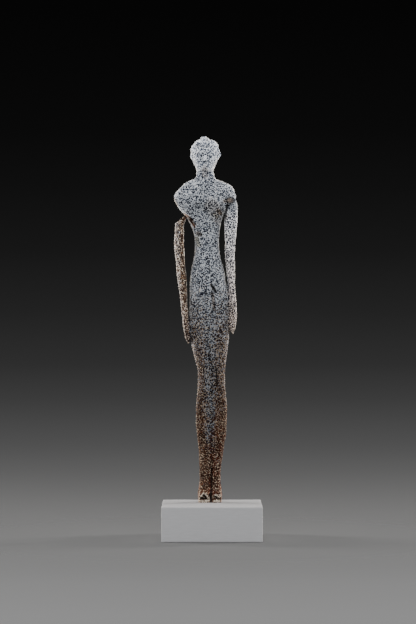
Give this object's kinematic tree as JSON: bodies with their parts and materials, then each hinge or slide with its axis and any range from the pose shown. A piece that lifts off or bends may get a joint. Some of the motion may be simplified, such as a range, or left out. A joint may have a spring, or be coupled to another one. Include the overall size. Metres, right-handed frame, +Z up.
{
  "type": "shabti figurine",
  "caption": "Slender standing funerary figurine with short lumpy hair, free-hanging arms and broken feet, with a pitted pale bloom over brown wax, fixed on a small painted display block.",
  "frame": {"origin": "centre of the display block's underside", "axes": "+Z up along the standing figure, the figure faces -Y, and its right arm is on the -X side"},
  "size_m": [0.0366, 0.0366, 0.1479],
  "materials": {
    "bloomed_wax": "rough, pitted blue-grey bloom over brown wax, brown showing on the lower legs, one arm and the breaks",
    "grey_paint": "matte pale grey paint"
  },
  "bodies": {
    "root": {"figure": "bloomed_wax", "display_block": "grey_paint"}
  },
  "joints": []
}
